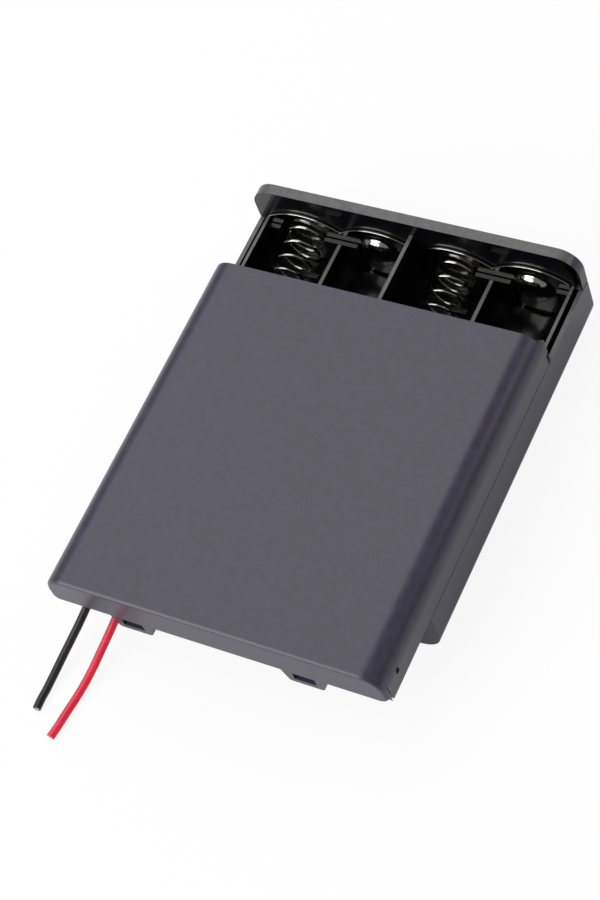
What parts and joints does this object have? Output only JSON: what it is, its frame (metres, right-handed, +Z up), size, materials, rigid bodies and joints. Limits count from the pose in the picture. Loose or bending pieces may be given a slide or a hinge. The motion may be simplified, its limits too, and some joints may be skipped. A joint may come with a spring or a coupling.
{
  "type": "cylindrical cell holder",
  "caption": "Flat moulded holder for cylindrical cells lying side by side, with a sliding cover, spring and button contacts, and two flying leads.",
  "frame": {"origin": "middle of the tray's flat underside", "axes": "+X across the cells, +Y along the cells towards the closed end plate, +Z up"},
  "size_m": [0.0652, 0.1071, 0.0198],
  "materials": {
    "tray_plastic": "glossy black moulded plastic",
    "cover_plastic": "satin dark slate moulded plastic with a fine texture",
    "contact_nickel": "nickel plated sheet steel",
    "spring_steel": "nickel plated spring wire",
    "red_pvc": "semi-gloss red PVC insulation",
    "black_pvc": "semi-gloss black PVC insulation",
    "tinned_copper": "tinned copper strands and solder"
  },
  "bodies": {
    "tray": {"body_tray": "tray_plastic", "far_contact_left": "contact_nickel", "far_contact_right": "contact_nickel", "near_contact_bridge": "contact_nickel", "near_contact_positive": "contact_nickel", "near_contact_negative": "contact_nickel", "far_spring_left": "spring_steel", "far_spring_right": "spring_steel", "near_spring_bridge": "spring_steel", "near_spring_negative": "spring_steel", "red_lead": "red_pvc", "red_lead_inside": "red_pvc", "red_lead_strands": "tinned_copper", "red_solder_joint": "tinned_copper", "black_lead": "black_pvc", "black_lead_inside": "black_pvc", "black_lead_strands": "tinned_copper", "black_solder_joint": "tinned_copper"},
    "cover": {"slide_cover": "cover_plastic"}
  },
  "joints": [
    {"name": "cover_slide", "type": "slide", "parent": "tray", "child": "cover", "axis": [0, 1, 0], "range_m": [-0.046, 0.016]}
  ]
}
